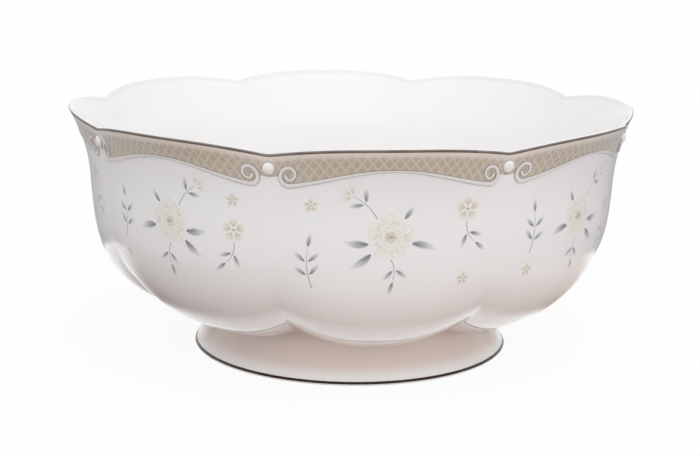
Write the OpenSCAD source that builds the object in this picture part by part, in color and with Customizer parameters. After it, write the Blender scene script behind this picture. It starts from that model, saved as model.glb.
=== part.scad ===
// Lobed porcelain serving bowl on a separate foot ring, with a platinum lip line,
// a trellis band edged by raised scrolls and pearls, and flower sprays on the wall.
// Millimetres, +Z up, standing on z = 0, with the middle of a lobe on +X.

/* [Wall] */
// Number of lobes round the bowl
lobes = 8; // [6:1:9]
// Radius of the lip at the middle of a lobe
lip_r = 125; // [118:0.5:140]
// Height of the lip's outer edge at the middle of a lobe
lip_h = 108.2; // [100:0.1:125]
// How far the lip comes in at a flute
lip_pinch = 4.4; // [2:0.1:6]
// How far the lip dips at a flute
lip_dip = 3.5; // [1:0.1:6]
// Radius of the wall at the height where the belly ends and the lip flare begins
belly_r = 116.5; // [110:0.5:122]
// Height where the belly ends and the lip flare begins
turn_h = 78; // [72:0.5:84]
// Outward lean of the wall, in millimetres per millimetre of height
lean = 0.06; // [0.03:0.005:0.1]
// Exponents of the belly's rounded profile, low and high on the curve
belly_power = [3.45, 1.62];
// Exponent of the lip flare
flare_power = 2.2; // [1.8:0.1:3]
// Softness of the crease at each flute, 0 is a sharp crease
crease = 0.035; // [0.02:0.005:0.1]

/* [Porcelain] */
// Wall thickness above the foot
neck_t = 4.5; // [3.5:0.1:6]
// Wall thickness at the lip, which is rounded over
lip_t = 1.6; // [1.4:0.1:3]
// Height of the middle of the floor inside
floor_h = 19; // [17.5:0.1:21]

/* [Foot] */
// Radius of the narrow neck, where wall and foot meet
neck_r = 64; // [60:0.5:68]
// Height of the neck line under a lobe
neck_h = 17; // [17:0.1:20]
// How much higher the neck line arches under a flute
neck_rise = 6.9; // [3:0.1:9]
// Radius of the foot's slope, carried down to the table
foot_slope_r = 70.2; // [68:0.1:74]
// Extra flare at the very bottom of the foot
foot_kick = 1.7; // [0.5:0.1:3]
// Height over which that flare fades
foot_kick_h = 2; // [1:0.1:4]
// Radius of the foot ring's inside edge, where it stands on the table
foot_bore_r = 65.5; // [64:0.1:66.5]
// Edge rounding where the foot stands on the table
foot_edge = 0.6; // [0.3:0.1:1]

/* [Joint of bowl and foot] */
// Height of the flat joint between bowl and foot
joint_h = 16; // [15:0.1:16.5]
// Width of the flat joint face
joint_w = 8; // [6:0.5:10]
// Depth of the round boss under the bowl that centres the foot ring
boss_h = 3.6; // [2.5:0.1:5]
// Gap round that boss
boss_gap = 0.3; // [0.2:0.05:0.6]
// Thickness of the layer of slip in the joint
slip_t = 0.4; // [0.2:0.05:0.8]
// How far the slip stops short of the joint's edges
slip_inset = 0.3; // [0.2:0.05:0.8]

/* [Metal lines] */
// How far the platinum line at the lip reaches down the wall
lip_line_w = 0.3; // [0.2:0.1:1]
// How far it goes round the lip's edge, in degrees
lip_line_turn = 60; // [30:5:80]
// Width of the platinum line on the foot
foot_line_w = 0.9; // [0.6:0.1:2]
// Height of that line's lower edge above the table
foot_line_h = 0.7; // [0.6:0.1:3]

/* [Band] */
// Depth of the trellis band below the lip at the middle of a lobe
band_mid = 7.8; // [6.5:0.1:10]
// Depth of the trellis band at its lowest, beside a flute
band_low = 12.4; // [11.5:0.1:15]
// Radius of a scroll's curled end, to the middle of its ribbon
curl_r = 4.2; // [3.5:0.1:4.8]
// Turn of a scroll's curled end, in degrees
curl_turn = 470; // [360:10:540]
// Width of a scroll's ribbon where the curl begins
ribbon_w = 2; // [1.4:0.1:2.2]
// Width of the ribbon at the middle of a lobe and in the eye of a curl
ribbon_end_w = 1.05; // [0.7:0.05:1.3]
// Diameter of the enamel pearl at each flute
pearl_d = 5; // [3.5:0.1:6]
// Height of that pearl
pearl_t = 1.5; // [1:0.1:2.2]
// Depth of the pearl's middle below the lip
pearl_drop = 4.8; // [4.4:0.1:8]
// Space between a pearl and the ribbons beside it
pearl_gap = 0.5; // [0.3:0.1:1.5]

/* [Flowers] */
// Depth of the middle of a spray below the lip
spray_drop = 34; // [33:0.5:37]
// Radius of a spray's blossom
petal_l = 9; // [7:0.1:10]
// Length of a spray's leaves
leaf_l = 9.6; // [7:0.1:10.5]
// Radius of the blossom of a sprig
star_l = 4.8; // [3.5:0.1:5.5]
// Radius of the loose florets
floret_l = 3.2; // [2.4:0.1:3.6]
// Distance of sprigs and twigs from a lobe's middle, as a share of the lobe
side_share = 0.33; // [0.31:0.01:0.35]
// Depth of the middle of a sprig's blossom below the lip, on one side of a lobe
sprig_drop = 24; // [22:0.5:26]
// Depth of the foot of a leaf twig below the lip, on the other side of a lobe
twig_drop = 55; // [53:0.5:57]
// Length of that twig
twig_l = 16; // [12:0.5:17]
// Step by which every second sprig is lower and every second twig higher
scatter_step = 10; // [8:0.5:11]
// Depth of the upper florets below the lip
floret_high_drop = 22; // [20:0.5:23]
// Depth of the lower florets below the lip
floret_low_drop = 52; // [51:0.5:54]
// Width of a stem
stem_w = 0.44; // [0.3:0.02:0.5]
// Distance from a stem's middle to the foot of its leaflets
leaf_gap = 0.75; // [0.7:0.05:1]

/* [Enamel thickness] */
// Standoff that keeps a film clear of the wall's flats
film_gap = 0.12; // [0.1:0.01:0.2]
// Thickness of a film of colour or metal
film_t = 0.12; // [0.08:0.01:0.2]
// Space between one film and the next one fired over it
layer_gap = 0.05; // [0.04:0.01:0.08]
// Height of the raised scrolls
scroll_t = 0.35; // [0.2:0.05:0.6]

/* [View] */
// Name of the piece to draw, or all of them

/* [Hidden] */
// Flats per lobe round the wall
flats = 10;
// Rings up the belly, up the flare, over the lip and across the floor
belly_rings = 11;
flare_rings = 6;
lip_rings = 3;
floor_rings = 5;
$fn = 96;

lobe_angle = 360 / lobes;
boss_r = neck_r - joint_w;
boss_z = joint_h - boss_h;
ring_top = joint_h - slip_t;
band_r = lip_r - lip_pinch / 2;
band_half = PI * band_r / lobes;
curl_s = band_half - pearl_d / 2 - pearl_gap - ribbon_w / 2 - curl_r;
layer_2 = film_gap + film_t + layer_gap;
layer_3 = layer_2 + film_t + layer_gap;
relief_low = 2 * film_gap + film_t;
spray_h = lip_h - spray_drop;
sprig_h = lip_h - sprig_drop;
twig_h = lip_h - twig_drop;
floret_high_h = lip_h - floret_high_drop;
floret_low_h = lip_h - floret_low_drop;

PIECES = ["trellis", "scroll", "pearl", "spray", "sprig", "twig"];

porcelain = "#f3eeea";
slip_grey = "#cfc6bd";
platinum = "#8d857d";
trellis_taupe = "#cbbfae";
relief_white = "#ebe6e4";
pearl_white = "#f6f2ec";
petal_cream = "#efe6d2";
star_ochre = "#e3cda4";
leaf_blue = "#a9b4b8";

// The wall's form.

// 0 at the middle of a lobe, 1 in the crease of a flute.
function flute_share(a) =
    let (
        d = a / lobe_angle - round(a / lobe_angle),
        side = abs(cos(180 * d)),
        soft = (sqrt(side * side + crease * crease) - crease) / (sqrt(1 + crease * crease) - crease)
    )
    pow(1 - soft, 1.5);

function neck_z(w) = neck_h + neck_rise * w;
function edge_z(w) = lip_h - lip_dip * w;

// Outside radius at height z, for a share w of the way from lobe to flute: a leaning
// wall, a rounded belly that fills out up to turn_h, and a flare from there to the lip.
function wall_r(w, z) =
    let (
        fill = min(1, max(0, (z - neck_z(w)) / (turn_h - neck_z(w)))),
        rise = max(0, (z - turn_h) / (edge_z(w) - turn_h)),
        bulge = belly_r - neck_r - lean * (turn_h - neck_h),
        flare = lip_r - lip_pinch * w - neck_r - lean * (edge_z(w) - neck_z(w)) - bulge
    )
    neck_r + lean * (z - neck_z(w))
    + bulge * pow(1 - pow(1 - fill, belly_power[0]), 1 / belly_power[1])
    + flare * pow(rise, flare_power);

function wall_slope(w, z) = (wall_r(w, z + 0.05) - wall_r(w, z - 0.05)) / 0.1;

function at(r, a, z) = [r * cos(a), r * sin(a), z];

// A point at angle a and height z on the wall, moved out along the wall's normal.
function on_wall(a, z, lift) =
    let (w = flute_share(a), k = wall_slope(w, z), n = sqrt(1 + k * k))
    at(wall_r(w, z) + lift / n, a, z - lift * k / n);

// A point on the rounded lip, turned from outside (0) over the top to inside (180), moved out by lift.
function on_lip(a, turn, lift) =
    let (
        w = flute_share(a),
        z = edge_z(w),
        k = wall_slope(w, z),
        n = sqrt(1 + k * k),
        out = (lip_t / 2 + lift) * cos(turn) - lip_t / 2,
        up = (lip_t / 2 + lift) * sin(turn)
    )
    at(wall_r(w, z) + (out + up * k) / n, a, z + (up - out * k) / n);

// Heights of the rings up the wall, closer together where the belly starts.
function ring_z(w) = concat(
    [for (j = [0:belly_rings]) neck_z(w) + (turn_h - neck_z(w)) * pow(j / belly_rings, 1.7)],
    [for (j = [1:flare_rings]) turn_h + (edge_z(w) - turn_h) * j / flare_rings]
);

function wall_t(w, z) = neck_t + (lip_t - neck_t) * (z - neck_z(w)) / (edge_z(w) - neck_z(w));

// One meridian of the bowl: underside, boss, joint face, wall, lip and inside.
function meridian(a) =
    let (
        w = flute_share(a),
        zs = ring_z(w),
        inside = [for (j = [len(zs) - 2:-1:0]) if (j % 2 == 0) on_wall(a, zs[j], -wall_t(w, zs[j]))],
        low = inside[len(inside) - 1],
        low_r = norm([low[0], low[1]]),
        low_z = neck_h + neck_t
    )
    concat(
        [at(boss_r, a, boss_z), at(boss_r, a, joint_h), at(neck_r, a, joint_h)],
        [for (z = zs) on_wall(a, z, 0)],
        [for (j = [1:lip_rings + 1]) on_lip(a, 180 * j / (lip_rings + 1), 0)],
        inside,
        [for (j = [floor_rings - 1:-1:1]) let (s = j / floor_rings)
            at(low_r * s, a, floor_h + (low_z - floor_h) * pow(s, 2) + (low[2] - low_z) * pow(s, 6))]
    );

// Solids from rows of points.

// Faces of a tube of rows that each have k points; closed tubes join the last row to the first.
function tube_faces(rows, k, closed, base = 0) = concat(
    [for (i = [0:rows - (closed ? 1 : 2)], j = [0:k - 1])
        let (
            p = base + i * k,
            q = base + (i + 1) % rows * k,
            m = (j + 1) % k
        )
        each [[p + j, q + m, q + j], [p + j, p + m, q + m]]],
    closed ? [] : [for (j = [1:k - 2]) each [
        [base, base + j + 1, base + j],
        [base + (rows - 1) * k, base + (rows - 1) * k + j, base + (rows - 1) * k + j + 1]]]
);

function flatten(lists) = [for (l = lists) each l];

// Several separate strips as one polyhedron; each strip is a list of four-cornered rows.
module strips(list) {
    starts = [for (i = 0, n = 0; i < len(list); n = n + 4 * len(list[i]), i = i + 1) n];
    faces = [for (i = [0:len(list) - 1]) each tube_faces(len(list[i]), 4, false, starts[i])];
    polyhedron(flatten(flatten(list)), faces);
}

// Rows along a flat path, each half as wide as `half` says, placed on the wall by put(point, lift).
function strip(path, half, low, high, put, bevel = 1) =
    let (last = len(path) - 1)
    [for (j = [0:last])
        let (
            ahead = path[min(j + 1, last)] - path[max(j - 1, 0)],
            side = [-ahead[1], ahead[0]] / norm(ahead) * half[j]
        )
        [put(path[j] - side, low), put(path[j] + side, low),
         put(path[j] + side * bevel, high), put(path[j] - side * bevel, high)]];

// The porcelain pieces.

module bowl_body() {
    count = lobes * flats;
    rows = [for (i = [0:count - 1]) meridian(i * 360 / count)];
    k = len(rows[0]);
    under = count * k;
    top = under + 1;
    sides = [for (i = [0:count - 1], j = [0:k - 2])
        let (p = i * k + j, q = (i + 1) % count * k + j)
        each [[p, p + 1, q + 1], [p, q + 1, q]]];
    caps = [for (i = [0:count - 1])
        let (p = i * k, q = (i + 1) % count * k)
        each [[under, p, q], [top, q + k - 1, p + k - 1]]];
    color(porcelain)
        polyhedron(concat(flatten(rows), [[0, 0, boss_z], [0, 0, floor_h]]), concat(sides, caps));
}

// Outside radius of the foot: a straight slope and a kick that fades upwards.
function foot_r(z) =
    neck_r + (foot_slope_r - neck_r) * (1 - z / joint_h) + foot_kick * exp(-z / foot_kick_h);

module foot_ring() {
    steps = 10;
    outside = [for (j = [0:steps]) let (z = foot_edge + (ring_top - foot_edge) * pow(j / steps, 1.5))
        [foot_r(z), z]];
    bore = boss_r + boss_gap;
    color(porcelain)
        rotate_extrude()
            polygon(concat(
                [[foot_bore_r + foot_edge, 0], [foot_r(foot_edge) - foot_edge, 0]],
                outside,
                [[bore, ring_top], [bore, boss_z], [foot_bore_r, foot_edge]]
            ));
}

module luting_slip() {
    color(slip_grey)
        translate([0, 0, ring_top])
            difference() {
                cylinder(h = slip_t, r = neck_r - slip_inset);
                translate([0, 0, -slip_t])
                    cylinder(h = 3 * slip_t, r = boss_r + boss_gap + slip_inset);
            }
}

// The metal lines.

module lip_line() {
    count = lobes * flats;
    steps = 2;
    rows = [for (i = [0:count - 1])
        let (a = i * 360 / count, foot = edge_z(flute_share(a)) - lip_line_w)
        concat(
            [on_wall(a, foot, film_gap)],
            [for (j = [0:steps]) on_lip(a, lip_line_turn * j / steps, film_gap)],
            [for (j = [steps:-1:0]) on_lip(a, lip_line_turn * j / steps, film_gap + film_t)],
            [on_wall(a, foot, film_gap + film_t)]
        )];
    color(platinum)
        polyhedron(flatten(rows), tube_faces(count, 2 * steps + 4, true));
}

module foot_line() {
    steps = 3;
    zs = [for (j = [0:steps]) foot_line_h + foot_line_w * j / steps];
    color(platinum)
        rotate_extrude()
            polygon(concat(
                [for (z = zs) [foot_r(z) + film_gap, z]],
                [for (j = [steps:-1:0]) [foot_r(zs[j]) + film_gap + film_t, zs[j]]]
            ));
}

// The band under the lip. Points are [along the lip from the lobe's middle, down from the lip].

function lobe_a(i) = (i - 1) * lobe_angle;
function band_a(i, s) = lobe_a(i) + s / band_r * 180 / PI;
function on_band(i) = function (p, lift)
    let (a = band_a(i, p[0])) on_wall(a, edge_z(flute_share(a)) - p[1], lift);

// Depth of the band's lower edge: an ogee from the lobe's middle to the curl, then level.
function band_depth(s) =
    let (share = min(1, abs(s) / curl_s))
    band_mid + (band_low - band_mid) * (1 - cos(180 * share)) / 2
    - curl_r * max(0, min(1, (abs(s) - curl_s) / curl_r));

module trellis(i) {
    put = on_band(i);
    steps = 3;
    end = band_half - layer_gap;
    rows = [for (j = [-flats / 2:0.5:flats / 2])
        let (s = max(-end, min(end, j * 2 * band_half / flats)))
        concat(
            [for (j = [0:steps]) put([s, lip_line_w + (band_depth(s) - lip_line_w) * j / steps], film_gap)],
            [for (j = [steps:-1:0])
                put([s, lip_line_w + (band_depth(s) - lip_line_w) * j / steps], film_gap + film_t)]
        )];
    color(trellis_taupe)
        polyhedron(flatten(rows), tube_faces(len(rows), 2 * steps + 2, false));
}

// Half of a scroll, from the lobe's middle out to the curl and round into its eye, as
// [along, down, half the ribbon's width].
function scroll_half(way) =
    let (steps = 7, turns = 13, eye_r = 0.55 * ribbon_w, swell = ribbon_w - ribbon_end_w)
    concat(
        [for (j = [1:steps]) let (s = curl_s * j / steps)
            [way * s, band_depth(s), (ribbon_end_w + swell * j / steps) / 2]],
        [for (j = [1:turns])
            let (t = j / turns, r = curl_r + (eye_r - curl_r) * t)
            [way * (curl_s + r * sin(curl_turn * t)), band_low - curl_r + r * cos(curl_turn * t),
             (ribbon_w - swell * t) / 2]]
    );

module scroll(i) {
    right = scroll_half(1);
    left = scroll_half(-1);
    rows = concat([for (j = [len(left) - 1:-1:0]) left[j]], [[0, band_mid, ribbon_end_w / 2]], right);
    path = [for (r = rows) [r[0], r[1]]];
    half = [for (r = rows) r[2]];
    color(relief_white)
        strips([strip(path, half, relief_low, relief_low + scroll_t, on_band(i), bevel = 0.6)]);
}

// The pearl sits over the crease of the flute after lobe i, clear of the trellis on both sides.
module pearl(i) {
    a = lobe_a(i) + lobe_angle / 2;
    z = edge_z(1) - pearl_drop;
    beside = flute_share(a + pearl_d / 2 / band_r * 180 / PI);
    seat = max(0, wall_r(beside, z + pearl_d / 2) - wall_r(1, z + pearl_d / 2)) + relief_low;
    tilt = atan(wall_slope(1, z));
    steps = 6;
    dome = [for (j = [0:steps]) pow(sin(90 * j / steps), 0.8)];
    color(pearl_white)
        translate(on_wall(a, z, seat))
            rotate([0, 90 + tilt, a])
                rotate_extrude()
                    polygon(concat([[0, 0]],
                        [for (j = [0:steps]) [pearl_d / 2 * cos(90 * j / steps), pearl_t * dome[j]]]));
}

// The flowers. Points are [along the wall, up the wall] from the middle of a blossom or the foot of a twig.

function on_belly(a, z, way) = function (p, lift)
    on_wall(a + way * p[0] / belly_r * 180 / PI, z + p[1], lift);

function dir(angle) = [cos(angle), sin(angle)];

// Neighbouring lobes are mirror images, and their sprigs and twigs are scattered in height.
function way(i) = i % 2 == 0 ? 1 : -1;
function side_a(i, side) = lobe_a(i) + side * side_share * lobe_angle;

// A point u of the way along a path that bends evenly, and the path's direction there.
function bent(p, angle, l, bend, u) = p + l * u * dir(angle + bend * u);
function heading(angle, bend, u) = angle + bend * u + atan(bend * u * PI / 180);

// A leaf or petal from point p: its width follows a sine that `blunt` pushes towards the tip.
function leaf(p, angle, l, w, layer, put, blunt = 1, bend = 0) =
    let (steps = l > 7 ? 4 : l > 3 ? 3 : 2)
    strip(
        [for (j = [0:steps]) bent(p, angle, l, bend, j / steps)],
        [for (j = [0:steps]) 0.12 + w / 2 * pow(sin(180 * pow(0.06 + 0.88 * j / steps, blunt)), 0.9)],
        layer, layer + film_t, put
    );

// A stem with leaflets of length leaf_size: a pair at each share in `pairs`, and one at the tip if asked for.
function stem(p, angle, l, bend, pairs, leaf_size, tip, put) =
    let (
        steps = 3,
        w = 0.44 * leaf_size,
        last = heading(angle, bend, 1)
    )
    concat(
        [strip([for (j = [0:steps]) bent(p, angle, l, bend, j / steps)],
            [for (j = [0:steps]) stem_w / 2], film_gap, film_gap + film_t, put)],
        [for (u = pairs, s = [-1, 1])
            let (along = heading(angle, bend, u))
            leaf(bent(p, angle, l, bend, u) + leaf_gap * s * dir(along + 90), along + 48 * s,
                leaf_size, w, film_gap, put)],
        tip
            ? [leaf(bent(p, angle, l, bend, 1) + leaf_gap * dir(last), last, leaf_size, w, film_gap, put)]
            : []
    );

// A ring of five petals that leave the middle of the blossom free.
function petals(l, w, turn, layer, put, blunt) =
    [for (j = [0:4]) leaf(0.24 * l * dir(turn + 72 * j), turn + 72 * j, 0.76 * l, w, layer, put, blunt)];

// The round middle of a blossom.
function heart(d, layer, put) = [leaf([-d / 2, 0], 0, d, d, layer, put)];

// A loose floret with pointed petals.
function floret(a, z, way) =
    let (put = on_belly(a, z, way))
    concat(petals(floret_l, 0.56 * floret_l, 90, film_gap, put, 0.9), heart(0.3 * floret_l, layer_2, put));

// A double five-petalled blossom with leaves, a budded bough above and a leafy tail below.
module spray(i) {
    put = on_belly(lobe_a(i), spray_h, way(i));
    rim = 0.98 * petal_l;
    bough_l = 1.35 * leaf_l;
    bough = rim * dir(54);
    bud = bent(bough, 62, bough_l, -18, 1);
    color(petal_cream)
        strips(concat(
            petals(petal_l, petal_l, 18, film_gap, put, 1.5),
            petals(0.62 * petal_l, 0.58 * petal_l, 54, layer_2, put, 1.4),
            heart(0.26 * petal_l, layer_3, put),
            [leaf(rim * dir(198), 182, leaf_l, 0.46 * leaf_l, film_gap, put, 0.9, 14)],
            [leaf(rim * dir(342), 352, leaf_l, 0.46 * leaf_l, film_gap, put, 0.9, 14)],
            [leaf(1.14 * rim * dir(318), 310, leaf_l, 0.46 * leaf_l, film_gap, put, 0.9, 14)],
            [leaf(rim * dir(126), 132, 0.62 * leaf_l, 0.3 * leaf_l, film_gap, put, 0.9, -10)],
            stem(bough, 62, bough_l, -18, [0.6], 0.6 * leaf_l, false, put),
            [for (s = [-1, 0, 1]) leaf(bud + 1.2 * leaf_gap * dir(30 + 72 * s), 30 + 44 * s, 0.52 * petal_l,
                0.22 * petal_l, film_gap, put, 1.3)],
            stem(rim * dir(268), 238, 0.9 * leaf_l, 24, [0.55], 0.58 * leaf_l, true, put)
        ));
}

// A small blossom on a leafy stalk, and a loose floret above or below it.
module sprig(i) {
    a = side_a(i, 1);
    low = i % 2 == 0;
    put = on_belly(a, sprig_h - (low ? scatter_step : 0), way(i));
    color(star_ochre)
        strips(concat(
            petals(star_l, 0.94 * star_l, 90, film_gap, put, 1.5),
            heart(0.3 * star_l, layer_2, put),
            stem(star_l * dir(270), 276, 1.9 * star_l, -30, [0.55], 1.2 * star_l, true, put),
            floret(a, low ? floret_high_h : floret_low_h, way(i))
        ));
}

// A bent twig with two pairs of leaflets and one at its tip, and a loose floret above or below it.
module twig(i) {
    a = side_a(i, -1);
    high = i % 2 == 0;
    put = on_belly(a, twig_h + (high ? scatter_step : 0), way(i));
    color(leaf_blue)
        strips(concat(
            stem([0, 0], 70, twig_l, 15, [0.35, 0.68], 0.36 * twig_l, true, put),
            floret(a, high ? floret_low_h : floret_high_h, way(i))
        ));
}

bowl_body();
foot_ring();
luting_slip();
lip_line();
foot_line();
for (i = [1:lobes]) {
    trellis(i);
    scroll(i);
    pearl(i);
    spray(i);
    sprig(i);
    twig(i);
}
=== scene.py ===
"""Looks of a lobed porcelain serving bowl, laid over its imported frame.

The wall is one formula of angle and height. Metal lines, band, scrolls, pearls and flowers are laid on
it by the same formula. Lengths are in metres, +Z is up and the middle of a lobe lies on +X.
"""

import math

import bpy
import numpy as np
from bpy.props import FloatProperty, FloatVectorProperty, IntProperty, PointerProperty
from bpy.types import Operator, Panel, PropertyGroup
from mathutils import Matrix, Vector


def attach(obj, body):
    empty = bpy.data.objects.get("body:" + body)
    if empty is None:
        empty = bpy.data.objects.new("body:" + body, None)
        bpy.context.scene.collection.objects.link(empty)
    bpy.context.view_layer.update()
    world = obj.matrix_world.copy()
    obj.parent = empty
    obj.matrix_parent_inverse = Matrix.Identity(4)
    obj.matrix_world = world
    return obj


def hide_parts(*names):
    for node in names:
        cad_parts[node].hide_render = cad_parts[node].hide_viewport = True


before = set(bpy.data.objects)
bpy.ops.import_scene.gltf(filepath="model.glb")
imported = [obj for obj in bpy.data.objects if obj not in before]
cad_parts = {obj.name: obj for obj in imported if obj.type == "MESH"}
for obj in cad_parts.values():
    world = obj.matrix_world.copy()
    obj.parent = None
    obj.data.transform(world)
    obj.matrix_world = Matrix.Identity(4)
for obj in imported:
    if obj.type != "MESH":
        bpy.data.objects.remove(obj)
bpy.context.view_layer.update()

bl_info = {
    "name": "Porcelain serving bowl",
    "version": (1, 0, 0),
    "blender": (4, 5, 0),
    "location": "View3D > Sidebar > Bowl",
    "description": "Builds the visible pieces of a lobed porcelain serving bowl on its frame",
    "category": "Object",
}

MM = 0.001
PHOTO_WIDTH = 700
SENSOR_WIDTH = 36.0


def srgb(red, green, blue):
    """A screen colour from 0 to 255 as the linear colour that a shader takes."""
    share = np.array([red, green, blue]) / 255.0
    linear = np.where(share <= 0.04045, share / 12.92, ((share + 0.055) / 1.055) ** 2.4)
    return tuple(float(c) for c in linear)


def number(name, value, description, **settings):
    """A number property."""
    return FloatProperty(name=name, description=description, default=value, **settings)


def length(name, millimetres, description):
    """A length property, given in millimetres and kept in metres."""
    return number(name, millimetres * MM, description, min=0.0, unit="LENGTH")


def degrees(name, turn, description):
    """An angle property, given in degrees and kept in radians."""
    return number(name, math.radians(turn), description, subtype="ANGLE")


def colour(name, screen, description):
    """A colour property, given as a screen colour."""
    return FloatVectorProperty(
        name=name, description=description, default=srgb(*screen), size=3, min=0.0, max=1.0, subtype="COLOR"
    )


class BowlWall(PropertyGroup):
    """Form of the porcelain body."""

    lobes: IntProperty(name="Lobes", description="Lobes round the bowl", default=8, min=6, max=9)
    lip_r: length("Lip radius", 125, "Radius of the lip at the middle of a lobe")
    lip_h: length("Lip height", 108.2, "Height of the lip's outer edge at the middle of a lobe")
    lip_pinch: length("Lip pinch", 4.4, "How far the lip comes in at a flute")
    lip_dip: length("Lip dip", 3.5, "How far the lip dips at a flute")
    belly_r: length("Belly radius", 116.5, "Radius where the belly ends and the lip flare begins")
    turn_h: length("Turn height", 78, "Height where the belly ends and the lip flare begins")
    lean: number("Lean", 0.06, "Outward lean of the wall, per unit of height")
    belly_low: number("Belly low", 3.45, "Exponent low on the belly")
    belly_high: number("Belly high", 1.62, "Exponent high on the belly")
    flare_power: number("Flare", 2.2, "Exponent of the lip flare")
    crease: number("Crease", 0.035, "Softness of the crease at each flute")
    neck_t: length("Neck thickness", 4.5, "Wall thickness above the foot")
    lip_t: length("Lip thickness", 1.6, "Wall thickness at the lip")
    floor_h: length("Floor height", 19, "Height of the middle of the floor inside")
    neck_r: length("Neck radius", 64, "Radius where wall and foot meet")
    neck_h: length("Neck height", 17, "Height of the neck line under a lobe")
    neck_rise: length("Neck rise", 6.9, "How much higher the neck line arches under a flute")


class BowlFoot(PropertyGroup):
    """Form of the foot ring and of its joint with the body."""

    slope_r: length("Slope radius", 70.2, "Radius of the foot's slope, carried down to the table")
    kick: length("Kick", 1.7, "Extra flare at the bottom of the foot")
    kick_h: length("Kick height", 2, "Height over which that flare fades")
    bore_r: length("Bore radius", 65.5, "Radius of the foot's inside edge on the table")
    edge: length("Edge", 0.6, "Edge rounding where the foot stands on the table")
    ease: number("Ease", 0.12, "Softness with which glaze fills the corner of foot and neck")
    joint_h: length("Joint height", 16, "Height of the joint between bowl and foot")
    joint_w: length("Joint width", 8, "Width of the joint face")
    boss_h: length("Boss depth", 3.6, "Depth of the boss that centres the foot ring")
    boss_gap: length("Boss gap", 0.3, "Gap round that boss")
    slip_t: length("Slip thickness", 0.4, "Thickness of the slip in the joint")


class BowlTrim(PropertyGroup):
    """Metal lines and the band under the lip."""

    lip_line_w: length("Lip line", 0.3, "How far the platinum line at the lip reaches down the wall")
    lip_line_turn: degrees("Lip line turn", 60, "How far it goes round the lip")
    foot_line_w: length("Foot line", 0.9, "Width of the platinum line on the foot")
    foot_line_h: length("Foot line height", 0.7, "Height of that line's lower edge")
    band_mid: length("Band depth", 7.8, "Depth of the band at the middle of a lobe")
    band_low: length("Band low", 12.4, "Depth of the band beside a flute")
    cells: IntProperty(name="Cells", description="Trellis cells across a lobe", default=24, min=8)
    cell_h: length("Cell height", 5, "Height of a trellis cell")
    curl_r: length("Curl radius", 4.2, "Radius of a scroll's curled end, to the middle of its ribbon")
    curl_turn: degrees("Curl turn", 470, "Turn of a scroll's curled end")
    ribbon_w: length("Ribbon width", 2, "Width of a scroll's ribbon where the curl begins")
    ribbon_end_w: length("Ribbon end", 1.05, "Width of the ribbon at a lobe's middle and in a curl's eye")
    scroll_t: length("Scroll height", 0.35, "Height of the raised scrolls")
    pearl_d: length("Pearl", 5, "Diameter of the enamel pearl at each flute")
    pearl_t: length("Pearl height", 1.5, "Height of that pearl")
    pearl_drop: length("Pearl drop", 4.8, "Depth of the pearl's middle below the lip")
    pearl_gap: length("Pearl gap", 0.5, "Space between a pearl and the ribbons beside it")
    film_t: length("Film", 0.04, "Thickness of a film of colour or metal")


class BowlFlowers(PropertyGroup):
    """Flowers on the wall."""

    spray_drop: length("Spray drop", 34, "Depth of the middle of a spray below the lip")
    petal_l: length("Petal", 9, "Radius of a spray's blossom")
    leaf_l: length("Leaf", 9.6, "Length of a spray's leaves")
    star_l: length("Star", 4.8, "Radius of the blossom of a sprig")
    floret_l: length("Floret", 3.2, "Radius of the loose florets")
    side_share: number("Side", 0.33, "Place of sprigs and twigs beside a lobe's middle, as a share of it")
    sprig_drop: length("Sprig drop", 24, "Depth of the middle of a sprig's blossom below the lip")
    twig_drop: length("Twig drop", 55, "Depth of the foot of a leaf twig below the lip")
    twig_l: length("Twig", 16, "Length of a leaf twig")
    scatter_step: length("Scatter", 10, "Step between the heights of neighbouring sprigs and twigs")
    floret_high_drop: length("High floret drop", 22, "Depth of the upper florets below the lip")
    floret_low_drop: length("Low floret drop", 52, "Depth of the lower florets below the lip")
    stem_w: length("Stem", 0.44, "Width of a stem")
    leaf_gap: length("Leaf gap", 0.75, "Distance from a stem's middle to the foot of its leaflets")


class BowlColours(PropertyGroup):
    """Colours of the glaze, the metal and the enamels."""

    porcelain: colour("Porcelain", (252, 251, 251), "Glazed white body")
    # Painted shade that tones down the brightly lit top of the lip
    lip_painted_shade: colour("Lip tone", (245, 243, 242), "Glaze that thins over the lip")
    # Painted shade on the foot: darker and warmer where the belly shades it
    foot_painted_shade: colour("Foot tone", (237, 222, 214), "Thinner, warmer glaze on the foot")
    bisque: colour("Bisque", (232, 223, 212), "Bare body on the standing edge")
    slip: colour("Slip", (207, 198, 189), "Fired slip in the joint")
    platinum: colour("Platinum", (156, 147, 140), "Metal lines")
    # Darker metal for the streaks, and painted shade on the foot line near the table
    worn_and_shaded_platinum: colour("Worn platinum", (78, 68, 62), "Metal on the foot")
    trellis_ground: colour("Trellis ground", (195, 182, 163), "Cells of the trellis")
    trellis_line: colour("Trellis line", (214, 203, 187), "Lines of the trellis")
    trellis_fade: colour("Trellis fade", (241, 230, 221), "Tone into which the trellis fades under the lip")
    relief: colour("Relief", (240, 236, 234), "Raised scrolls")
    outline: colour("Outline", (150, 141, 138), "Lines along the scrolls")
    pearl: colour("Pearl", (248, 245, 240), "Enamel pearls")
    petal: colour("Petal", (252, 250, 246), "Blossom petals")
    petal_shade: colour("Petal shade", (213, 201, 164), "Shadows between the petals")
    heart: colour("Heart", (166, 152, 116), "Middle of a blossom")
    star: colour("Star", (243, 237, 225), "Star blossoms")
    star_shade: colour("Star shade", (205, 191, 163), "Shadows of the star blossoms")
    leaf: colour("Leaf", (92, 95, 102), "Leaves, at the foot and along the veins")
    leaf_light: colour("Leaf light", (187, 190, 191), "Leaves, towards the tip")
    stem: colour("Stem", (160, 166, 178), "Stems and twigs")


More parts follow.
